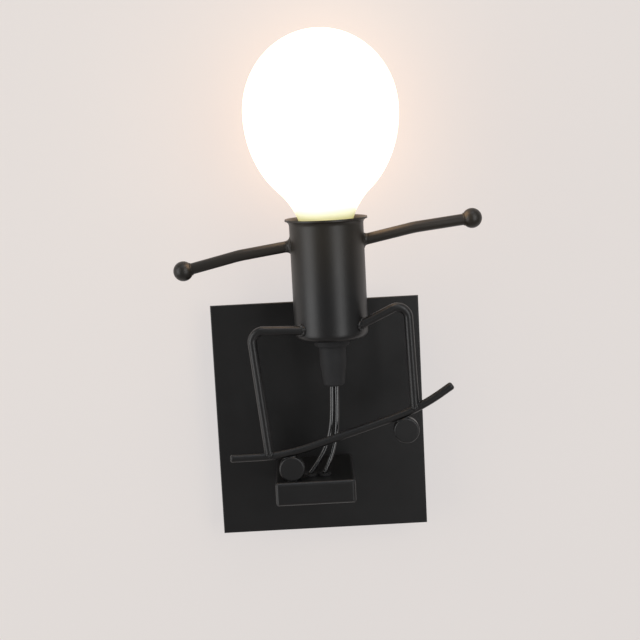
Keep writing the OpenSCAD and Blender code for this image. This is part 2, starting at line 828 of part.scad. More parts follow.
module ledge() {
  color(black_paint)
    difference() {
      translate([ledge_x, plate_face, ledge_mid])
        difference() {
          round_box(ledge_w, ledge_h, ledge_reach, ledge_bend_r);
          round_box(ledge_w - 2 * ledge_sheet, ledge_h - 2 * ledge_sheet, ledge_reach - ledge_sheet,
                    ledge_bend_r - ledge_sheet, over);
        }
      for (x = wire_holes)
        translate([x, wire_hole_y, ledge_top])
          bar_z(-ledge_sheet - over, over, ledge_hole_d);
    }
}

module ledge_grommets() {
  color(rubber_black)
    for (x = wire_holes)
      translate([x, wire_hole_y, ledge_top])
        grommet(ledge_hole_d, wire_d + 2 * wire_play, ledge_sheet);
}

module plate_grommet() {
  color(rubber_black)
    translate([ledge_x, plate_face, ledge_mid])
      rotate([90, 0, 0])
        grommet(plate_hole_d, plate_hole_d - 2 * grommet_wall, plate_sheet);
}

// Skateboard

module board_shape() {
  translate([0, figure_y, 0]) {
    rod_run(board_start, deck_tilt - kick_angle, tail_end + bend_lap, board_d);
    rod_bend(board_point(tail_end), deck_tilt - kick_angle, kick_angle, kick_bend_r, board_d);
    rod_run(board_point(deck_from) - bend_lap * along(deck_tilt), deck_tilt,
            deck_to - deck_from + 2 * bend_lap, board_d);
    rod_bend(board_point(deck_to), deck_tilt, kick_angle, kick_bend_r, board_d);
    rod_run(board_point(nose_from) - bend_lap * along(deck_tilt + kick_angle), deck_tilt + kick_angle,
            nose_len - kick_cut + bend_lap, board_d);
  }
}

module skateboard_bar() {
  color(black_paint)
    board_shape();
}

module wheel(at) {
  centre = wheel_centre(at);
  half_w = wheel_w / 2;
  translate([centre.x, figure_y, centre.y])
    rotate([90, 0, 0])
      rotate_extrude() {
        translate([0, -half_w])
          square([wheel_d / 2 - wheel_edge_r, wheel_w]);
        translate([0, wheel_edge_r - half_w])
          square([wheel_d / 2, wheel_w - 2 * wheel_edge_r]);
        for (z = [-1, 1])
          translate([wheel_d / 2 - wheel_edge_r, z * (half_w - wheel_edge_r)])
            circle(wheel_edge_r);
      }
}

module rear_wheel() {
  color(black_paint)
    difference() {
      wheel(rear_wheel_at);
      board_shape();
      translate([ledge_x - ledge_w, figure_y - wheel_w, ledge_top - wheel_d])
        cube([2 * ledge_w, 2 * wheel_w, wheel_d]);
    }
}

module front_wheel() {
  color(black_paint)
    difference() {
      wheel(front_wheel_at);
      board_shape();
    }
}

// Figure

// Space that the cup's wall takes up, against which the limbs are cut to seat
module cup_space() {
  on_cup()
    cylinder(r = cup_r, h = cup_h);
}

// Leg from the cup to its foot on the skateboard; side is -1 on the left and 1 on the right
module leg(side, hip_h, thigh, rise, foot_at) {
  hip = [cup_place.x + side * hip_out, cup_place.z + hip_h];
  thigh_heading = side > 0 ? rise : 180 - rise;
  knee = hip + thigh * along(thigh_heading);
  foot = board_point(foot_at);
  shin = norm(foot - knee) - (board_d / 2 - foot_sink);
  shin_heading = atan2(foot.y - knee.y, foot.x - knee.x);
  turn = side > 0 ? shin_heading - thigh_heading : shin_heading + 360 - thigh_heading;
  knee_cut = knee_bend_r * tan(abs(turn) / 2);
  difference() {
    translate([0, figure_y, 0])
      bent_rod(hip - hip_lap * along(thigh_heading), thigh_heading, turn, thigh + hip_lap - knee_cut,
               shin - knee_cut, knee_bend_r, leg_d);
    cup_space();
    board_shape();
  }
}

module left_leg() {
  color(black_paint)
    leg(-1, left_hip_h, left_thigh, left_thigh_rise, left_foot_at);
}

module right_leg() {
  color(black_paint)
    leg(1, right_hip_h, right_thigh, right_thigh_rise, right_foot_at);
}

module body_cup() {
  lip_turn = acos(1 - lip_reach / lip_flare_r);
  flare_z = cup_h - (lip_flare_r + cup_sheet) * sin(lip_turn);
  edge_in = max(cup_edge_r - cup_sheet, snug);
  corner = [for (i = [0 : corner_steps]) -90 + 90 * i / corner_steps];
  flare = [for (i = [0 : corner_steps]) lip_turn * i / corner_steps];
  outside = concat(
    [for (a = corner) [cup_r - cup_edge_r, cup_edge_r] + cup_edge_r * along(a)],
    [for (a = flare) [cup_r + lip_flare_r - lip_flare_r * cos(a), flare_z + lip_flare_r * sin(a)]]);
  inside = concat(
    [for (a = corner) [cup_r - cup_sheet - edge_in, cup_sheet + edge_in] + edge_in * along(a)],
    [for (a = flare) let (r = lip_flare_r + cup_sheet)
      [cup_r + lip_flare_r - r * cos(a), flare_z + r * sin(a)]]);
  last = len(inside) - 1;
  color(black_paint)
    on_cup()
      difference() {
        rotate_extrude($fn = 96)
          polygon(concat([[0, 0]], outside, [for (i = [0 : last]) inside[last - i]], [[0, cup_sheet]]));
        bar_z(-over, cup_sheet + over, nipple_d + 2 * contact_gap);
      }
}

// Places along an arm: its heading, where it leaves the cup, its elbow and its hand
function arm_heading(side, rise) = side > 0 ? rise : 180 - rise;
function arm_start(side, h) = [cup_place.x + side * cup_r, cup_place.z + h];
function arm_hand(side, h, rise) =
  arm_start(side, h) + upper_arm * along(arm_heading(side, rise))
  + forearm * along(arm_heading(side, rise) - side * elbow_drop);

module hand(side, h, rise) {
  place = arm_hand(side, h, rise);
  translate([place.x, cup_y, place.y])
    sphere(d = hand_d);
}

module arm(side, h, rise) {
  heading = arm_heading(side, rise);
  elbow_cut = elbow_bend_r * tan(elbow_drop / 2);
  difference() {
    translate([0, cup_y, 0])
      bent_rod(arm_start(side, h) - cup_r / 2 * along(heading), heading, -side * elbow_drop,
               upper_arm + cup_r / 2 - elbow_cut, forearm - elbow_cut, elbow_bend_r, arm_d);
    cup_space();
    hand(side, h, rise);
  }
}

module left_arm() {
  color(black_paint)
    arm(-1, left_shoulder_h, left_arm_rise);
}

module right_arm() {
  color(black_paint)
    arm(1, right_shoulder_h, right_arm_rise);
}

module left_hand() {
  color(black_paint)
    hand(-1, left_shoulder_h, left_arm_rise);
}

module right_hand() {
  color(black_paint)
    hand(1, right_shoulder_h, right_arm_rise);
}

// Lampholder and its fixing

module cord_grip() {
  socket_r = nipple_d / 2 + snug;
  socket_z = -nipple_reach - contact_gap;
  color(nylon_black)
    on_cup()
      rotate_extrude()
        polygon([[grip_bore / 2, -grip_len], [grip_tip_d / 2 - grip_edge, -grip_len],
                 [grip_tip_d / 2, grip_edge - grip_len], [grip_d / 2, -grip_straight],
                 [grip_d / 2, -grip_flange_h], [grip_flange_d / 2 - grip_edge, -grip_flange_h],
                 [grip_flange_d / 2, grip_edge - grip_flange_h], [grip_flange_d / 2, 0],
                 [socket_r, 0], [socket_r, socket_z], [grip_bore / 2, socket_z]]);
}

module nipple() {
  color(zinc)
    on_cup()
      difference() {
        bar_z(-nipple_reach, nipple_top, nipple_d);
        bar_z(-nipple_reach - over, nipple_top + over, nipple_bore);
      }
}

module tooth_washer() {
  washer_d = nut_af + 3;
  color(zinc)
    on_cup()
      difference() {
        bar_z(washer_z, washer_z + washer_h, washer_d);
        bar_z(washer_z - over, washer_z + washer_h + over, nipple_d + 2 * contact_gap);
        for (i = [0 : washer_teeth - 1])
          rotate([0, 0, 360 * i / washer_teeth])
            translate([washer_d / 2, 0, washer_z - over])
              cylinder(d = tooth_gap, h = washer_h + 2 * over);
      }
}

module lock_nut() {
  color(zinc)
    on_cup()
      difference() {
        translate([0, 0, nut_z])
          cylinder(d = nut_af / cos(30), h = nut_h, $fn = 6);
        bar_z(nut_z - over, nut_z + nut_h + over, nipple_d + 2 * snug);
      }
}

module holder_base() {
  color(ceramic)
    on_cup()
      difference() {
        bar_z(base_z, roof_z, holder_d);
        bar_z(base_z - over, base_z + base_floor + over, nipple_d + 2 * snug);
        translate([-window_w / 2, -holder_d, base_z + base_floor])
          cube([window_w, 2 * holder_d, base_h - base_floor - base_roof]);
        for (x = [live_screw_x, -neutral_screw_x])
          translate([x, 0, 0])
            bar_z(roof_z - base_roof - over, roof_z + over, holder_screw_d + 2 * snug);
        for (y = [-1, 1])
          translate([0, y * long_screw_y, 0])
            bar_z(roof_z - long_screw_bite - contact_gap, roof_z + over, holder_screw_d + 2 * snug);
      }
}

module holder_barrel() {
  head_h = head_h_ratio * holder_screw_d;
  color(ceramic)
    on_cup()
      difference() {
        bar_z(roof_z, socket_top, holder_d);
        bar_z(roof_z - over, socket_top + over, 2 * socket_r);
        for (y = [-1, 1])
          translate([0, y * long_screw_y, 0]) {
            bar_z(roof_z - over, socket_top + over, holder_screw_d + 2 * snug);
            bar_z(socket_top - head_h, socket_top + over, head_ratio * holder_screw_d + 2 * snug);
          }
      }
}

module screw_shell() {
  low = roof_z + shell_plain_h;
  high = socket_top - 1;
  rows = ceil((high - low) / thread_pitch * thread_rows);
  crest = shell_mid + thread_depth / 2;
  heights = [for (i = [0 : rows]) low + (high - low) * i / rows];
  inner = [for (z = heights) let (f = fade(z, low, high))
    thread_ring(z, shell_mid + (1 - f) * thread_depth / 2, f * thread_depth / 2)];
  outer = [for (i = [0 : rows]) let (z = heights[rows - i], f = fade(z, low, high))
    thread_ring(z, shell_mid + (1 - f) * thread_depth / 2 + thread_sheet, f * thread_depth / 2)];
  flange = [thread_ring(roof_z, crest + thread_sheet, 0), thread_ring(roof_z, flange_r, 0),
            thread_ring(roof_z + thread_sheet, flange_r, 0), thread_ring(roof_z + thread_sheet, crest, 0)];
  color(brass)
    on_cup()
      thread_shell(concat(outer, flange, inner));
}

module contact_tongue() {
  foot_to = live_screw_x + tongue_w / 2;
  foot_from = live_screw_x - tongue_w / 2;
  tip_h = tongue_h - tongue_sheet;
  color(bronze)
    on_cup()
      translate([0, 0, roof_z])
        difference() {
          rotate([90, 0, 0])
            linear_extrude(tongue_w, center = true)
              polygon([[foot_to, 0], [foot_from, 0], [foot_from - tongue_ramp, tip_h], [-tongue_tip, tip_h],
                       [-tongue_tip, tongue_h], [foot_from - tongue_ramp + tongue_sheet / 2, tongue_h],
                       [foot_from + tongue_sheet / 2, tongue_sheet], [foot_to, tongue_sheet]]);
          translate([live_screw_x, 0, 0])
            bar_z(-over, tongue_sheet + over, holder_screw_d + 2 * snug);
        }
}

module contact_screws() {
  color(brass)
    on_cup() {
      translate([live_screw_x, 0, roof_z + tongue_sheet])
        screw(holder_screw_d, tongue_sheet + base_roof + contact_bite);
      translate([-neutral_screw_x, 0, roof_z + thread_sheet])
        screw(holder_screw_d, thread_sheet + base_roof + contact_bite);
    }
}

module holder_terminals() {
  color(brass)
    on_cup()
      for (x = [live_screw_x, -neutral_screw_x])
        translate([x, 0, 0])
          difference() {
            translate([-terminal_w / 2, -terminal_w / 2, terminal_z])
              cube([terminal_w, terminal_w, terminal_h]);
            bar_z(terminal_z - over, terminal_z + wire_sink + contact_gap, wire_d + 2 * wire_play);
            bar_z(terminal_z + terminal_h - contact_bite - contact_gap, terminal_z + terminal_h + over,
                  holder_screw_d + 2 * snug);
          }
}

module holder_screws() {
  head_h = head_h_ratio * holder_screw_d;
  color(zinc)
    on_cup()
      for (y = [-1, 1])
        translate([0, y * long_screw_y, socket_top - head_h])
          screw(holder_screw_d, barrel_h - head_h + long_screw_bite);
}

module live_wire() {
  color(rubber_black)
    tube(live_route, wire_d, wire_sides);
}

module neutral_wire() {
  color(rubber_black)
    tube(neutral_route, wire_d, wire_sides);
}

// Bulb

module bulb_globe() {
  outside = globe_points(0);
  inside = globe_points(glass);
  last = len(inside) - 1;
  seat = cap_top + contact_gap;
  foot = cap_top - neck_sink;
  color(opal)
    on_cup()
      rotate_extrude($fn = 96)
        polygon(concat(outside, [[neck_shoulder_r, seat], [neck_r, seat], [neck_r, foot],
                                 [neck_r - glass, foot], [neck_r - glass, seat + glass]],
                       [for (i = [0 : last]) inside[last - i]]));
}

module bulb_cap() {
  high = cap_top - 1;
  rows = ceil((high - cap_z) / thread_pitch * thread_rows);
  heights = concat([for (i = [0 : rows]) cap_z + (high - cap_z) * i / rows], [cap_top]);
  top = rows + 1;
  outer = [for (i = [0 : top]) let (z = heights[top - i], f = fade(z, cap_z, high))
    thread_ring(z, thread_mid - (1 - f) * thread_depth / 2, f * thread_depth / 2)];
  inner = [for (z = heights) let (f = fade(z, cap_z, high))
    thread_ring(z, thread_mid - (1 - f) * thread_depth / 2 - thread_sheet, f * thread_depth / 2)];
  color(zinc)
    on_cup()
      thread_shell(concat(outer, inner));
}

module cap_insulator() {
  color(nylon_black)
    on_cup()
      translate([0, 0, insulator_z])
        rotate_extrude()
          polygon([[0, 0], [contact_d / 2, 0], [cap_foot_r, insulator_h],
                   [cap_foot_r, insulator_h + insulator_plug], [0, insulator_h + insulator_plug]]);
}

module bulb_contact() {
  r = contact_d / 2;
  color(zinc)
    on_cup()
      translate([0, 0, contact_z])
        rotate_extrude()
          polygon([[0, 0], [r - contact_edge, 0], [r, contact_edge], [r, contact_h], [0, contact_h]]);
}

module bulb_stem() {
  foot = cap_top - neck_sink;
  foot_r = neck_r - glass - snug;
  color(clear_glass)
    on_cup()
      rotate_extrude()
        polygon([[0, foot], [foot_r, foot], [foot_r, foot + glass], [stem_r, foot + stem_flare_h],
                 [stem_r, stem_top], [0, stem_top]]);
}

module led_filaments() {
  color("#f4d58a")
    on_cup()
      for (i = [0 : filament_count - 1])
        rotate([0, 0, 360 * i / filament_count])
          translate([filament_r, 0, 0])
            bar_z(filament_z, filament_z + filament_len, filament_d);
}

module filament_leads() {
  low = filament_z - lead_d;
  high = filament_z + filament_len + lead_d;
  color(zinc)
    on_cup() {
      bar_z(stem_top, high, lead_d);
      for (i = [0 : filament_count - 1], z = [low, high])
        rotate([0, 0, 360 * i / filament_count])
          translate([0, 0, z])
            bar_x(0, filament_r + filament_d / 2, 2 * lead_d);
    }
}

module driver_board() {
  board_z = cap_z + driver_up;
  color(board_green)
    on_cup() {
      bar_z(board_z, board_z + driver_sheet, 2 * cap_foot_r - 2 * contact_gap);
      bar_z(board_z + driver_sheet, board_z + driver_sheet + capacitor_h, capacitor_d);
    }
}

wall_plate();
mounting_bar();
side_screws();
terminal_block();
terminal_barrels();
terminal_screws();
block_screw();
earth_screw();
earth_lug();
earth_lead();
ledge();
ledge_grommets();
plate_grommet();
skateboard_bar();
rear_wheel();
front_wheel();
left_leg();
right_leg();
body_cup();
left_arm();
right_arm();
left_hand();
right_hand();
cord_grip();
nipple();
tooth_washer();
lock_nut();
holder_base();
holder_barrel();
screw_shell();
contact_tongue();
contact_screws();
holder_terminals();
holder_screws();
live_wire();
neutral_wire();
bulb_globe();
bulb_cap();
cap_insulator();
bulb_contact();
bulb_stem();
led_filaments();
filament_leads();
driver_board();
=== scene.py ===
"""Looks of a wall lamp: a stick figure in black steel, with a globe bulb for its head, on a skateboard."""
import json
import math

import bpy
from mathutils import Matrix, Vector


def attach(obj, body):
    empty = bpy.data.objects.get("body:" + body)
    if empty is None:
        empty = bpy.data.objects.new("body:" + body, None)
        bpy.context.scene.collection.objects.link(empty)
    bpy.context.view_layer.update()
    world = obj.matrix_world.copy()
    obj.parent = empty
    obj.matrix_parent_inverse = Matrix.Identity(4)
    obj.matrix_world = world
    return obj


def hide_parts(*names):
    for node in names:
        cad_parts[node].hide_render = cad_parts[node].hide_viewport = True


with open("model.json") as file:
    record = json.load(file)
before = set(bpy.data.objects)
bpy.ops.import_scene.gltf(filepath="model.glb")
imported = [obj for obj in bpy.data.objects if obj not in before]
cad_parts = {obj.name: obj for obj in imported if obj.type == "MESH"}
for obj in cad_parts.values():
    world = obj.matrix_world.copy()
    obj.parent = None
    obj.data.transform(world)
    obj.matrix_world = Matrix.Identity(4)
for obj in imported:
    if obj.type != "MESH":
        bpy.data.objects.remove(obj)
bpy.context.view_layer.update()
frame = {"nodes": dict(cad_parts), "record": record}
MM = 0.001

# Places of the solids, in millimetres: the wall is y = 0, the lamp stands out towards -Y, and the legs and
# the board lie in the figure's plane. The cup's place is the middle of its floor, and CAP_TOP is the height
# of the bulb's cap above that floor.
PLATE_FACE = -20.0
FIGURE_Y = -76.0
CUP = Vector((9.7, -63.0, 59.25))
CAP_TOP = 67.0
LEDGE_X = -5.3
LEDGE_TOP = -27.25
LEDGE_MID = -34.75

# Sizes of the solids, in millimetres
CUP_R = 23.0
LEG_R = 2.8
ARM_R = 3.5
HAND_R = 6.2
BOARD_R = 2.5
WIRE_D = 2.8

UP = Vector((0, 0, 1))


def heading(degrees):
    """Direction in the figure's plane, counted from the right towards up."""
    return Vector((math.cos(math.radians(degrees)), 0, math.sin(math.radians(degrees))))


def on_ledge(x, z):
    """Point in the figure's plane, from the middle of the ledge's top."""
    return Vector((LEDGE_X + x, FIGURE_Y, LEDGE_TOP + z))


def put_in_scene(name, data):
    """Adds a new object to the scene."""
    thing = bpy.data.objects.new(name, data)
    bpy.context.scene.collection.objects.link(thing)
    return thing


# Camera at the photograph's place: it looks down a little, and its roll is the tilt of the lamp in the photo

def add_camera():
    place = Vector((-4.07, -854.2, 188.95))
    pitch = math.radians(8.5)
    yaw = math.radians(-0.503)
    roll = math.radians(2.958)
    ahead = Vector((-math.sin(yaw) * math.cos(pitch), math.cos(yaw) * math.cos(pitch), -math.sin(pitch)))
    right = Vector((math.cos(yaw), math.sin(yaw), 0))
    up = right.cross(ahead)
    side = right * math.cos(roll) - up * math.sin(roll)
    top = up * math.cos(roll) + right * math.sin(roll)
    data = bpy.data.cameras.new("camera")
    data.sensor_width = 36
    data.lens = 72.18
    camera = put_in_scene("camera", data)
    turn = Matrix((side, top, -ahead)).transposed().to_4x4()
    camera.matrix_world = Matrix.Translation(place * MM) @ turn
    bpy.context.scene.camera = camera


add_camera()


# Finishes

def linear(code):
    """Linear colour of an sRGB hex value."""
    parts = [int(code[i:i + 2], 16) / 255 for i in (1, 3, 5)]
    return [p / 12.92 if p <= 0.04045 else ((p + 0.055) / 1.055) ** 2.4 for p in parts] + [1.0]


def add(tree, kind, inputs, **settings):
    """Adds a node with its settings; an input is a value or the socket that feeds it."""
    node = tree.nodes.new(kind)
    for name, value in settings.items():
        setattr(node, name, value)
    for name, value in inputs.items():
        if isinstance(value, bpy.types.NodeSocket):
            tree.links.new(value, node.inputs[name])
        else:
            node.inputs[name].default_value = value
    return node


def start_finish(name):
    """A new finish: its material, node tree, shader and the place of each point on the object."""
    finish = bpy.data.materials.new(name)
    finish.use_nodes = True
    tree = finish.node_tree
    shader = tree.nodes["Principled BSDF"]
    place = add(tree, "ShaderNodeTexCoord", {}).outputs["Object"]
    return finish, tree, shader, place


def grain(millimetres):
    """Scale of a noise whose blotches are about that wide."""
    return 1 / (millimetres * MM)


def powder_coated_steel():
    # Polyester powder baked on steel: deep satin black, with a fine orange peel that softens every highlight;
    # from the middle of the cup upwards the bulb's warm light is painted into the colour as a brown tint, a
    # painted warm glow, and the coat is a little rougher there
    finish, tree, shader, place = start_finish("satin_black_powder_coat")
    glow_starts_at = 85 * MM
    glow_full_at = 125 * MM
    dulling = 0.04
    height = add(tree, "ShaderNodeSeparateXYZ", {"Vector": place}).outputs["Z"]
    glow_and_dulling_share = add(tree, "ShaderNodeMapRange",
               {"Value": height, "From Min": glow_starts_at, "From Max": glow_full_at})
    peel = add(tree, "ShaderNodeTexNoise", {"Vector": place, "Scale": grain(0.9), "Detail": 2.0})
    film = add(tree, "ShaderNodeTexNoise", {"Vector": place, "Scale": grain(14), "Detail": 3.0})
    shade = add(tree, "ShaderNodeMix",
                {"Factor": film.outputs["Fac"], "A": linear("#0a0a0a"), "B": linear("#111010")},
                data_type="RGBA")
    # Painted warm glow: brown mixed into the black by height, standing in for the bulb's light on the coat
    painted_bulb_glow = add(tree, "ShaderNodeMix",
                  {"Factor": glow_and_dulling_share.outputs["Result"], "A": shade.outputs["Result"], "B": linear("#211c14")},
                  data_type="RGBA")
    gloss = add(tree, "ShaderNodeMapRange",
                {"Value": film.outputs["Fac"], "To Min": 0.34, "To Max": 0.42})
    dulled = add(tree, "ShaderNodeMath",
                 {0: glow_and_dulling_share.outputs["Result"], 1: dulling, 2: gloss.outputs["Result"]},
                 operation="MULTIPLY_ADD")
    bump = add(tree, "ShaderNodeBump",
               {"Height": peel.outputs["Fac"], "Strength": 0.12, "Distance": 0.2 * MM})
    tree.links.new(painted_bulb_glow.outputs["Result"], shader.inputs["Base Color"])
    tree.links.new(dulled.outputs["Value"], shader.inputs["Roughness"])
    tree.links.new(bump.outputs["Normal"], shader.inputs["Normal"])
    shader.inputs["IOR"].default_value = 1.5
    return finish


def plated_metal(name, light, dark, smooth, rough):
    # Plated or drawn metal: soft cloudy reflections, with a little tarnish in the blotches
    finish, tree, shader, place = start_finish(name)
    cloud = add(tree, "ShaderNodeTexNoise", {"Vector": place, "Scale": grain(3), "Detail": 4.0})
    shade = add(tree, "ShaderNodeMix",
                {"Factor": cloud.outputs["Fac"], "A": linear(dark), "B": linear(light)},
                data_type="RGBA")
    gloss = add(tree, "ShaderNodeMapRange",
                {"Value": cloud.outputs["Fac"], "To Min": smooth, "To Max": rough})
    tree.links.new(shade.outputs["Result"], shader.inputs["Base Color"])
    tree.links.new(gloss.outputs["Result"], shader.inputs["Roughness"])
    shader.inputs["Metallic"].default_value = 1.0
    return finish


def moulded(name, light, dark, rough, skin_mm, relief, ior, shine=0.5):
    # Moulded, drawn or fired stuff: an even colour with a faint mottle, and the skin that its making leaves,
    # which is drawn coarser than it is, so that it shows
    finish, tree, shader, place = start_finish(name)
    spread = 0.05
    mottle = add(tree, "ShaderNodeTexNoise", {"Vector": place, "Scale": grain(6), "Detail": 3.0})
    skin = add(tree, "ShaderNodeTexNoise", {"Vector": place, "Scale": grain(skin_mm), "Detail": 2.0})
    shade = add(tree, "ShaderNodeMix",
                {"Factor": mottle.outputs["Fac"], "A": linear(dark), "B": linear(light)},
                data_type="RGBA")
    gloss = add(tree, "ShaderNodeMapRange",
                {"Value": skin.outputs["Fac"], "To Min": rough - spread, "To Max": rough + spread})
    bump = add(tree, "ShaderNodeBump",
               {"Height": skin.outputs["Fac"], "Strength": relief, "Distance": 0.1 * MM})
    tree.links.new(shade.outputs["Result"], shader.inputs["Base Color"])
    tree.links.new(gloss.outputs["Result"], shader.inputs["Roughness"])
    tree.links.new(bump.outputs["Normal"], shader.inputs["Normal"])
    shader.inputs["IOR"].default_value = ior
    shader.inputs["Specular IOR Level"].default_value = shine
    return finish


def striped_insulation():
    # Extruded PVC with two spiral stripes, the usual marking of an earth wire
    finish, tree, shader, place = start_finish("green_and_yellow_pvc")
    stripe_edge = 0.62
    stripe = add(tree, "ShaderNodeAttribute", {}, attribute_name="stripe")
    yellow = add(tree, "ShaderNodeMath", {0: stripe.outputs["Fac"], 1: stripe_edge}, operation="GREATER_THAN")
    shade = add(tree, "ShaderNodeMix",
                {"Factor": yellow.outputs["Value"], "A": linear("#2f7d35"), "B": linear("#e0cf3a")},
                data_type="RGBA")
    skin = add(tree, "ShaderNodeTexNoise", {"Vector": place, "Scale": grain(2), "Detail": 2.0})
    gloss = add(tree, "ShaderNodeMapRange",
                {"Value": skin.outputs["Fac"], "To Min": 0.26, "To Max": 0.34})
    tree.links.new(shade.outputs["Result"], shader.inputs["Base Color"])
    tree.links.new(gloss.outputs["Result"], shader.inputs["Roughness"])
    return finish


def opal_glass():
    # Flashed opal glass lit from inside by warm white filaments: an even glow, dimmer and yellower down the
    # neck, where the flash is thin and the light hardly reaches; there the glass's own colour is also painted
    # darker and yellower, as painted shade of the cup around the neck
    finish, tree, shader, place = start_finish("glowing_opal_glass")
    cap = CUP.z + CAP_TOP
    foot = (cap + 7) * MM
    throat = (cap + 12) * MM
    belly = (cap + 24) * MM
    height = add(tree, "ShaderNodeSeparateXYZ", {"Vector": place}).outputs["Z"]
    low = add(tree, "ShaderNodeMapRange", {"Value": height, "From Min": foot, "From Max": throat})
    high = add(tree, "ShaderNodeMapRange", {"Value": height, "From Min": throat, "From Max": belly})
    dim = add(tree, "ShaderNodeMix",
              {"Factor": low.outputs["Result"], "A": linear("#4d4a28"), "B": linear("#67674f")},
              data_type="RGBA")
    glow = add(tree, "ShaderNodeMix",
               {"Factor": high.outputs["Result"], "A": dim.outputs["Result"], "B": linear("#ffd4a8")},
               data_type="RGBA")
    # Painted shade: the glass's colour turns darker and yellower down the neck, standing in for the cup's
    # shade
    glass_and_neck_shade = add(tree, "ShaderNodeMix",
                {"Factor": low.outputs["Result"], "A": linear("#e6e1ba"), "B": linear("#fffdf6")},
                data_type="RGBA")
    haze = add(tree, "ShaderNodeTexNoise", {"Vector": place, "Scale": grain(20), "Detail": 2.0})
    gloss = add(tree, "ShaderNodeMapRange",
                {"Value": haze.outputs["Fac"], "To Min": 0.12, "To Max": 0.18})
    tree.links.new(glass_and_neck_shade.outputs["Result"], shader.inputs["Base Color"])
    tree.links.new(glow.outputs["Result"], shader.inputs["Emission Color"])
    tree.links.new(gloss.outputs["Result"], shader.inputs["Roughness"])
    shader.inputs["Emission Strength"].default_value = 4.4
    shader.inputs["IOR"].default_value = 1.52
    return finish


def clear_glass():
    # Drawn soda-lime glass: clear, with slow waves from the flame
    finish, tree, shader, place = start_finish("clear_soda_lime_glass")
    wave = add(tree, "ShaderNodeTexNoise", {"Vector": place, "Scale": grain(5), "Detail": 1.0})
    bump = add(tree, "ShaderNodeBump",
               {"Height": wave.outputs["Fac"], "Strength": 0.1, "Distance": 0.2 * MM})
    tree.links.new(bump.outputs["Normal"], shader.inputs["Normal"])
    shader.inputs["Base Color"].default_value = linear("#eef4f4")
    shader.inputs["Roughness"].default_value = 0.03
    shader.inputs["Transmission Weight"].default_value = 1.0
    shader.inputs["IOR"].default_value = 1.52
    return finish


FINISHES = {
    "black_paint": powder_coated_steel(),
    # Zinc plated on pressed steel: a bluish white gleam
    "zinc_steel": plated_metal("bright_zinc_plate", "#c6c8cc", "#a9acb2", smooth=0.26, rough=0.4),
    # Brass from the lathe: the brightest metal here, warm yellow
    "brass": plated_metal("turned_brass", "#cfae62", "#b28a3e", smooth=0.22, rough=0.36),
    # Bronze rolled thin for springs: redder than the brass
    "bronze_strip": plated_metal("rolled_spring_bronze", "#bd8a58", "#9d6a3c", smooth=0.25, rough=0.38),
    # Steatite pressed and fired: dense off-white ceramic, half matt
    "white_ceramic": moulded("fired_steatite_ceramic", "#efeae0", "#e2dccf",
                             rough=0.42, skin_mm=0.5, relief=0.1, ior=1.55),
    # Nylon from an eroded mould: charcoal, with hardly a highlight
    "black_nylon": moulded("moulded_black_nylon", "#29292a", "#222223",
                           rough=0.68, skin_mm=0.4, relief=0.12, ior=1.53, shine=0.3),
    # Undyed nylon: milky and a little waxy
    "white_nylon": moulded("moulded_white_nylon", "#eae8e1", "#dfdcd3",
                           rough=0.45, skin_mm=0.4, relief=0.08, ior=1.53),
    # Moulded rubber: dull black
    "black_rubber": moulded("moulded_black_rubber", "#171718", "#111112",
                            rough=0.75, skin_mm=0.5, relief=0.2, ior=1.52),
    # PVC drawn over the copper: smooth, with a narrow bright line along each wire
    "black_insulation": moulded("extruded_black_pvc", "#131314", "#0e0e0f",
                                rough=0.12, skin_mm=0.8, relief=0.03, ior=1.53, shine=1.0),
    "green_insulation": striped_insulation(),
    "opal_glass": opal_glass(),
    "clear_glass": clear_glass(),
    # Silicone full of phosphor, cast over the light source's strips: egg yellow and soft
    "filament": moulded("yellow_phosphor_silicone", "#f4d58a", "#e6bd62",
                        rough=0.5, skin_mm=0.4, relief=0.1, ior=1.43),
    # Lacquer over glass cloth: leaf green, half gloss
    "circuit_board": moulded("green_solder_mask", "#2f6b48", "#265a3b",
                             rough=0.35, skin_mm=0.6, relief=0.06, ior=1.5),
}

for part in frame["record"]["subparts"]:
    solid = frame["nodes"][part["node"]].data
    solid.materials.clear()
    solid.materials.append(FINISHES[part["material_slot"]])


# Pieces that stand for a solid, or that the solids leave out

def add_piece(name, data, slot, body, *nodes):
    """Adds a piece that rides on a body, has a slot's finish and stands for the named nodes."""
    piece = put_in_scene(name, data)
    data.materials.append(FINISHES[slot])
    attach(piece, body)
    if nodes:
        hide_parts(*nodes)
    return piece


def mesh_of(name, points, faces):
    """Smooth mesh from points in millimetres."""
    mesh = bpy.data.meshes.new(name)
    mesh.from_pydata([Vector(p) * MM for p in points], [], faces)
    mesh.shade_smooth()
    mesh.update()
    return mesh


def turned(name, outline, foot, steps=128):
    """Mesh turned about an upright axis through foot; its outline starts and ends on that axis."""
    points, faces, rings = [], [], []
    on_axis = 1e-6
    for radius, height in outline:
        count = 1 if radius < on_axis else steps
        rings.append(range(len(points), len(points) + count))
        for i in range(count):
            angle = 2 * math.pi * i / steps
            points.append(foot + Vector((radius * math.cos(angle), radius * math.sin(angle), height)))
    for a, b in zip(rings, rings[1:]):
        for i in range(steps):
            j = (i + 1) % steps
            corners = [a[i % len(a)], b[i % len(b)], b[j % len(b)], a[j % len(a)]]
            faces.append(list(dict.fromkeys(corners)))
    return mesh_of(name, points, faces)


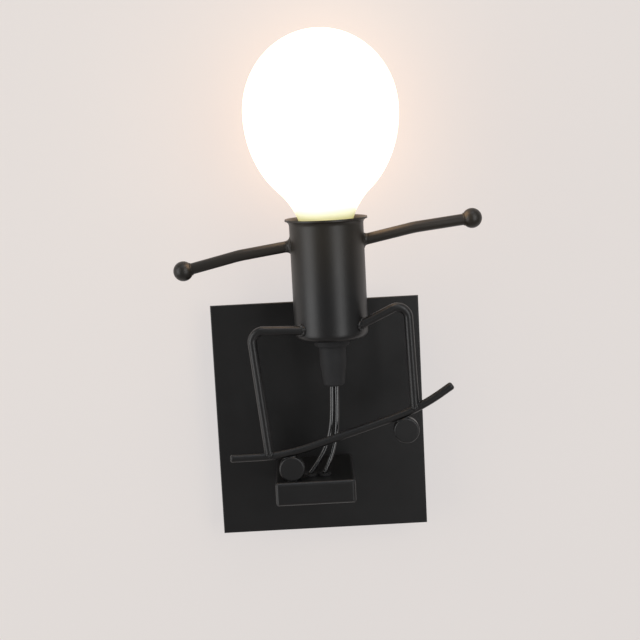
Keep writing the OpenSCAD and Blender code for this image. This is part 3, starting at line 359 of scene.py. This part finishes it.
def swept(name, path, radius, sides=16, closed=False):
    """Round tube along a path; radius is a function of the share of the path."""
    count = len(path)
    points, faces = [], []
    # Any direction that no path follows; each ring hands its own on to the next, so the tube isn't twisted
    normal = Vector((0.31, 0.17, 0.93))
    for i, p in enumerate(path):
        before = path[i - 1] if closed or i else path[0]
        after = path[(i + 1) % count] if closed or i + 1 < count else path[-1]
        along = (after - before).normalized()
        normal = (normal - along * normal.dot(along)).normalized()
        cross = along.cross(normal)
        for k in range(sides):
            angle = 2 * math.pi * k / sides
            points.append(p + (normal * math.cos(angle) + cross * math.sin(angle)) * radius(i / count))
    for i in range(count if closed else count - 1):
        for k in range(sides):
            a, b, n = i * sides, (i + 1) % count * sides, (k + 1) % sides
            faces.append([a + k, a + n, b + n, b + k])
    if not closed:
        faces.append(list(range(sides))[::-1])
        faces.append([(count - 1) * sides + k for k in range(sides)])
    return mesh_of(name, points, faces)


# Bulb: the globe's crown and belly run into the hollow curve of its neck, whose open end sits inside the cap

GLASS = 1.2
GLOBE_R = 47.5
GLOBE_MID = CAP_TOP + 72.5
CROWN_H = 50.0
BELLY_H = 59.5
NECK_FROM = math.radians(53)
NECK_BEND_R = 44.0
NECK_STUB = 1.2
NECK_SHOULDER_R = 13.2
NECK_R = 11.4
NECK_SINK = 6
CAP_GAP = 0.1


def globe_outline(inset):
    """Radius and height of points from the crown down to the neck's shoulder, moved inwards by inset."""
    bend_from_r = GLOBE_R * math.cos(NECK_FROM)
    bend_from_z = GLOBE_MID - BELLY_H * math.sin(NECK_FROM)
    lean = math.atan(GLOBE_R * math.sin(NECK_FROM) / (BELLY_H * math.cos(NECK_FROM)))
    end = math.asin(math.sin(lean) - (bend_from_z - CAP_TOP - NECK_STUB) / NECK_BEND_R)
    line = []
    dome_steps = 80
    for i in range(dome_steps + 1):
        t = math.pi / 2 - (math.pi / 2 + NECK_FROM) * i / dome_steps
        h = CROWN_H if t > 0 else BELLY_H
        out = Vector((h * math.cos(t), GLOBE_R * math.sin(t))).normalized()
        radius = GLOBE_R * math.cos(t) - inset * out.x
        line.append((max(0.0, radius), GLOBE_MID + h * math.sin(t) - inset * out.y))
    neck_steps = 16
    for i in range(1, neck_steps + 1):
        f = lean + (end - lean) * i / neck_steps
        radius = bend_from_r - NECK_BEND_R * (math.cos(f) - math.cos(lean))
        height = bend_from_z - NECK_BEND_R * (math.sin(lean) - math.sin(f))
        line.append((radius - inset * math.cos(f), height + inset * math.sin(f)))
    return line


def add_globe():
    outer = [(NECK_SHOULDER_R, CAP_TOP + CAP_GAP), (NECK_R, CAP_TOP + CAP_GAP), (NECK_R, CAP_TOP - NECK_SINK)]
    inner = [(NECK_R - GLASS, CAP_TOP - NECK_SINK), (NECK_R - GLASS, CAP_TOP + CAP_GAP + GLASS)]
    outline = globe_outline(0) + outer + inner + globe_outline(GLASS)[::-1]
    add_piece("opal_globe", turned("opal_globe", outline, CUP), "opal_glass", "bulb", "bulb_globe")


add_globe()


# Wires along the routes of their solids: from the lampholder down through the cord grip, free to the ledge,
# through the grommets of the ledge and the plate, and up into the terminal block

WIRE_OFF = 1.5
TERMINAL_RISE = 24
TERMINAL_STUB = 5
NIPPLE_RISE = 10
GRIP_LENGTH = 30.2
HOLE_Y = -67
GROMMET_LIP = 1.2
GROMMET_LENGTH = 3.9
BLOCK_Y = -8
BLOCK_FOOT = -12.5
BLOCK_HEAD = 11.5
BARREL_REST = 1.5


def bow(a, out, b, back, steps):
    """Points of a curve from a, which it leaves along out, to b, which it reaches along back."""
    points = []
    for i in range(steps + 1):
        u = i / steps
        first = a * (1 - u) ** 3 + (a + out) * (3 * u * (1 - u) ** 2)
        points.append(first + (b - back) * (3 * u * u * (1 - u)) + b * u ** 3)
    return points


def wire_curve(name, points):
    """Round curve through points in millimetres."""
    data = bpy.data.curves.new(name, "CURVE")
    data.dimensions = "3D"
    data.bevel_depth = WIRE_D / 2 * MM
    data.bevel_resolution = 6
    data.use_fill_caps = True
    line = data.splines.new("POLY")
    line.points.add(len(points) - 1)
    for target, p in zip(line.points, points):
        target.co = (*(p * MM), 1)
    line.use_smooth = True
    return data


def add_wire(name, side, screw_x, hole_x, pole_x):
    """One wire in three runs: in the cup and the grip, hanging free, and in the ledge and the tray."""
    clamp = CUP + Vector((screw_x, 0, TERMINAL_RISE))
    leave = clamp - Vector((0, 0, TERMINAL_STUB))
    core = CUP + Vector((side * WIRE_OFF, 0, NIPPLE_RISE))
    tip = CUP + Vector((side * WIRE_OFF, 0, -GRIP_LENGTH))
    holder_pull = Vector((0, 0, -4))
    upper = [clamp] + bow(leave, holder_pull, core, holder_pull, steps=16) + [tip]

    # It hangs straight down from the grip and then slants over to its hole
    hole = Vector((hole_x, HOLE_Y, LEDGE_TOP + GROMMET_LIP))
    swing = hole - tip
    tip_pull = Vector((0.06 * swing.x, 0, 0.48 * swing.z))
    hole_pull = Vector((0.94 * swing.x, 0.6 * swing.y, 0.34 * swing.z))
    hanging = bow(tip, tip_pull, hole, hole_pull, steps=48)

    duct = hole - Vector((0, 0, GROMMET_LENGTH))
    passage = Vector((LEDGE_X + side * WIRE_OFF, PLATE_FACE - GROMMET_LIP, LEDGE_MID))
    tray = passage + Vector((0, GROMMET_LENGTH, 0))
    rise = Vector((pole_x, BLOCK_Y, BLOCK_FOOT))
    barrel = Vector((pole_x, BLOCK_Y, -BARREL_REST))
    duct_pull = Vector((0, 0, -7.5))
    passage_pull = Vector((0, 25.2, 0))
    tray_pull = Vector((0, 8, 0))
    rise_pull = Vector((0, 0, 12))
    in_ledge = bow(duct, duct_pull, passage, passage_pull, steps=24)
    in_tray = bow(tray, tray_pull, rise, rise_pull, steps=20)
    lower = [hole] + in_ledge + in_tray + [barrel]

    add_piece(name + "_in_the_cup", wire_curve(name, upper), "black_insulation", "lamp", name)
    add_piece(name + "_in_the_ledge", wire_curve(name, lower), "black_insulation", "lamp", name)
    free = add_piece(name + "_hanging", wire_curve(name, hanging), "black_insulation", "lamp", name)


add_wire("neutral_wire", side=-1, screw_x=-7.9, hole_x=LEDGE_X - 2.8, pole_x=-30)
add_wire("live_wire", side=1, screw_x=5.5, hole_x=LEDGE_X + 6.2, pole_x=-12)


def add_earth_wire():
    """Earth wire in a high arch from the terminal block's middle pole to its lug on the mounting bar."""
    pole_x = -21
    lug_x = 20
    lug_y = -4.25
    barrel = Vector((pole_x, BLOCK_Y, BARREL_REST))
    head = Vector((pole_x, BLOCK_Y, BLOCK_HEAD))
    lug_mouth = Vector((lug_x, lug_y, 12))
    lug_crimp = Vector((lug_x, lug_y, 5.1))
    arch = Vector((0, 0, 16))
    path = [barrel] + bow(head, arch, lug_mouth, -arch, steps=40) + [lug_crimp]
    sides = 16
    stripes = 2
    twist = 0.25
    mesh = swept("earth_wire", path, lambda share: WIRE_D / 2, sides)
    stripe = mesh.attributes.new("stripe", "FLOAT", "POINT")
    for i in range(len(path)):
        for k in range(sides):
            turn = 2 * math.pi * stripes * k / sides + twist * i
            stripe.data[i * sides + k].value = 0.5 + 0.5 * math.cos(turn)
    add_piece("earth_wire", mesh, "green_insulation", "lamp", "earth_lead")


add_earth_wire()


# Skateboard: a flat tail, a tilted deck and a turned-up nose, with a wide bend before and after the deck

def add_skateboard():
    """Bar of the skateboard from its tail to its nose, with both sawn ends dressed round."""
    tail_end = on_ledge(-52.074, 15.65)
    length = 147.52
    bend_run = 34.56
    bend_starts = (16.6, 104.36)
    tail_heading = 0.1
    kick = 16.5
    dressing = 1.5
    edge_steps = 8
    edge = [math.pi / 2 * k / edge_steps for k in range(edge_steps + 1)]
    places = [dressing * (1 - math.cos(a)) for a in edge]
    radii = [BOARD_R - dressing * (1 - math.sin(a)) for a in edge]
    steps = 96
    middle = [dressing + (length - 2 * dressing) * i / steps for i in range(1, steps)]
    radii = radii + [BOARD_R] * len(middle) + radii[::-1]
    places = places + middle + [length - s for s in places[::-1]]
    path = [tail_end]
    for s, t in zip(places, places[1:]):
        share = sum(min(1, max(0, ((s + t) / 2 - start) / bend_run)) for start in bend_starts)
        path.append(path[-1] + heading(tail_heading + kick * share) * (t - s))
    mesh = swept("skateboard", path, lambda share: radii[round(share * len(path))], sides=48)
    add_piece("skateboard", mesh, "black_paint", "lamp", "skateboard_bar")


add_skateboard()


# Weld beads where the rods and wheels meet what carries them, painted over with the rest

HIP_OUT = math.sqrt(CUP_R ** 2 - (CUP.y - FIGURE_Y) ** 2)


def seam(origin, along, rod_r, centre, axis, target_r, steps=48):
    """Closed line where a round rod goes out through a cylinder, or a ball where axis is None."""
    along = along.normalized()
    first = along.orthogonal().normalized()
    second = along.cross(first)
    points = []
    for i in range(steps):
        angle = 2 * math.pi * i / steps
        p = origin + (first * math.cos(angle) + second * math.sin(angle)) * rod_r
        gap = p - centre
        way = along.copy()
        if axis is not None:
            gap = gap - axis * gap.dot(axis)
            way = way - axis * way.dot(axis)
        half = gap.dot(way) / way.dot(way)
        whole = (gap.dot(gap) - target_r ** 2) / way.dot(way)
        points.append(p + along * (math.sqrt(max(0, half * half - whole)) - half))
    return points


def add_bead(name, line, size, ripples, lumps):
    """Bead along a closed line, with even ripples and some uneven lumps."""
    def swell(share):
        turn = 2 * math.pi * share
        even = (0.06 + 0.5 * lumps) * math.sin(ripples * turn)
        uneven = math.sin(2 * turn + 0.7 * ripples) + 0.8 * math.sin(5 * turn + 1.3 * ripples)
        return size * (0.92 + even + lumps * uneven)

    add_piece(name, swept(name, line, swell, sides=12, closed=True), "black_paint", "lamp")


def add_flare(name, line, middle, along, size, ripples, lumps):
    """Hollow fillet from the wall at a closed line out onto a rod, whose axis goes through middle."""
    points, faces = [], []
    bands = 7
    stretch = 1.5
    sink = 0.8
    skin = 0.02
    for i, p in enumerate(line):
        turn = 2 * math.pi * i / len(line)
        away = p - middle
        away = (away - along * away.dot(along)).normalized()
        even = (0.04 + 0.4 * lumps) * math.sin(ripples * turn)
        uneven = math.sin(2 * turn + ripples)
        reach = size * (1 + even + lumps * uneven)
        points.append(p + away * reach - along * sink)
        for k in range(bands):
            a = math.pi / 2 * k / (bands - 1)
            lift = away * (reach * (1 - math.sin(a)) + skin)
            points.append(p + lift + along * stretch * reach * (1 - math.cos(a)))
        points.append(p - away * sink - along * sink)
    count = bands + 2
    for i in range(len(line)):
        for k in range(count):
            a, b, n = i * count, (i + 1) % len(line) * count, (k + 1) % count
            faces.append([a + k, b + k, b + n, a + n])
    add_piece(name, mesh_of(name, points, faces), "black_paint", "lamp")


def weld_hip(name, side, rise, thigh_heading, **bead):
    along = heading(thigh_heading)
    hip = Vector((CUP.x + side * HIP_OUT, FIGURE_Y, CUP.z + rise))
    inside = hip - along * 2 * LEG_R
    add_bead(name, seam(inside, along, LEG_R, CUP, UP, CUP_R), **bead)


def weld_shoulder(name, side, rise, arm_heading, **fillet):
    along = heading(arm_heading)
    inside = CUP + Vector((side * CUP_R, 0, rise)) - along * CUP_R / 2
    add_flare(name, seam(inside, along, ARM_R, CUP, UP, CUP_R), inside, along, **fillet)


def weld_hand(name, hand, forearm_heading, **bead):
    back = heading(forearm_heading + 180)
    add_bead(name, seam(hand, back, ARM_R, hand, None, HAND_R), **bead)


def weld_foot(name, foot, shin_heading, board_heading, **bead):
    """Bead where a shin stands on the board, a little inside the shin's outline."""
    back = heading(shin_heading + 180)
    inset = 0.3
    add_bead(name, seam(foot, back, LEG_R - inset, foot, heading(board_heading), BOARD_R), **bead)


def weld_wheel(name, seat, along, reach, half_width, **bead):
    """Bead round the seat of a wheel, a rectangle with round corners that lies along the given heading."""
    line = []
    steps = 48
    for i in range(steps):
        angle = 2 * math.pi * i / steps
        c, d = (math.copysign(math.sqrt(abs(f)), f) for f in (math.cos(angle), math.sin(angle)))
        line.append(seat + heading(along) * reach * c + Vector((0, half_width * d, 0)))
    add_bead(name, line, **bead)


weld_hip("left_hip_weld", side=-1, rise=7.5, thigh_heading=177.6, size=1.35, ripples=7, lumps=0.12)
weld_hip("right_hip_weld", side=1, rise=9.5, thigh_heading=25, size=1.15, ripples=13, lumps=0.26)
weld_shoulder("left_shoulder_weld", side=-1, rise=58.6, arm_heading=187.7, size=2.0, ripples=8, lumps=0.04)
weld_shoulder("right_shoulder_weld", side=1, rise=60.2, arm_heading=11, size=1.5, ripples=11, lumps=0.2)
weld_hand("left_hand_weld", CUP + Vector((-89.73, 0, 46.41)), forearm_heading=192.7,
          size=0.55, ripples=7, lumps=0.06)
weld_hand("right_hand_weld", CUP + Vector((90.12, 0, 70.05)), forearm_heading=6,
          size=0.55, ripples=7, lumps=0.06)
weld_foot("left_foot_weld", on_ledge(-27.58, 15.95), shin_heading=-84.7, board_heading=3.9,
          size=0.85, ripples=8, lumps=0.16)
weld_foot("right_foot_weld", on_ledge(64.24, 41.31), shin_heading=-88.2, board_heading=24.1,
          size=0.85, ripples=9, lumps=0.16)
weld_wheel("rear_wheel_ledge_weld", on_ledge(-14, 0.2), along=0, reach=2.9, half_width=2.9,
           size=0.7, ripples=10, lumps=0.14)
weld_wheel("rear_wheel_board_weld", on_ledge(-15.25, 14.9), along=9.6, reach=3.6, half_width=2.1,
           size=0.6, ripples=8, lumps=0.14)
weld_wheel("front_wheel_board_weld", on_ledge(55.78, 35.26), along=19.3, reach=3.6, half_width=2.1,
           size=0.6, ripples=8, lumps=0.14)


# Wall, floor and light, in metres

ROOM = 3
ROOM_FRONT = -4
FLOOR_Z = -0.9
WALL_Y = 0.0002
LAMP_MIDDLE = Vector((0.01, -0.06, 0.1))


def plain_sheet(name, corners, paint, pale_share, one_sided):
    """Flat stage sheet; a one-sided one shows only from its front, so that the lamp's back can be seen."""
    mesh = bpy.data.meshes.new(name)
    mesh.from_pydata(corners, [], [range(4)])
    sheet = put_in_scene(name, mesh)
    # Matt emulsion: it shows its pale tone to the eye, and takes the lamp's glow and soft shadow on top of it
    finish, tree, shader, _ = start_finish(name + "_paint")
    path = add(tree, "ShaderNodeLightPath", {}).outputs
    mirrored = add(tree, "ShaderNodeMath",
                   {0: path["Is Camera Ray"], 1: path["Is Glossy Ray"]}, operation="ADD")
    seen = add(tree, "ShaderNodeMath",
               {0: mirrored.outputs["Value"], 1: path["Is Transmission Ray"]},
               operation="ADD", use_clamp=True)
    tone = add(tree, "ShaderNodeMath", {0: seen.outputs["Value"], 1: pale_share}, operation="MULTIPLY")
    tree.links.new(tone.outputs["Value"], shader.inputs["Emission Strength"])
    shader.inputs["Emission Color"].default_value = linear("#dddadb")
    shader.inputs["Base Color"].default_value = linear(paint)
    shader.inputs["Roughness"].default_value = 0.9
    shader.inputs["Specular IOR Level"].default_value = 0.1
    if one_sided:
        back = add(tree, "ShaderNodeNewGeometry", {}).outputs["Backfacing"]
        clear = add(tree, "ShaderNodeBsdfTransparent", {})
        both = add(tree, "ShaderNodeMixShader",
                   {0: back, 1: shader.outputs["BSDF"], 2: clear.outputs["BSDF"]})
        tree.links.new(both.outputs["Shader"], tree.nodes["Material Output"].inputs["Surface"])
    mesh.materials.append(finish)


wall_corners = [(-ROOM, WALL_Y, FLOOR_Z), (ROOM, WALL_Y, FLOOR_Z),
                (ROOM, WALL_Y, ROOM), (-ROOM, WALL_Y, ROOM)]
plain_sheet("wall", wall_corners, "#786d5e", pale_share=0.85, one_sided=True)
floor_corners = [(-ROOM, ROOM_FRONT, FLOOR_Z), (ROOM, ROOM_FRONT, FLOOR_Z),
                 (ROOM, ROOM, FLOOR_Z), (-ROOM, ROOM, FLOOR_Z)]
plain_sheet("floor", floor_corners, "#9a9592", pale_share=0.3, one_sided=False)


def add_softbox(name, place, width, height, watts, colour):
    """Rectangular soft light that faces the lamp."""
    data = bpy.data.lights.new(name, "AREA")
    data.shape = "RECTANGLE"
    data.size = width
    data.size_y = height
    data.energy = watts
    data.color = linear(colour)[:3]
    box = put_in_scene(name, data)
    box.location = place
    box.rotation_euler = (LAMP_MIDDLE - Vector(place)).to_track_quat("-Z", "Y").to_euler()


add_softbox("left_window", (-1.0, -0.6, 0.2), width=0.7, height=1.3, watts=7.4, colour="#ffffff")
add_softbox("right_window", (0.58, -1.0, 0.3), width=0.5, height=1.3, watts=5.9, colour="#ffffff")
add_softbox("ceiling_panel", (0.1, -0.5, 1.25), width=0.9, height=0.5, watts=2.6, colour="#e6f0ff")

room = bpy.data.worlds.new("room")
bpy.context.scene.world = room
room.use_nodes = True
air = room.node_tree.nodes["Background"]
air.inputs["Color"].default_value = linear("#f4f5f6")
air.inputs["Strength"].default_value = 0.27
bpy.context.scene.view_settings.view_transform = "Standard"
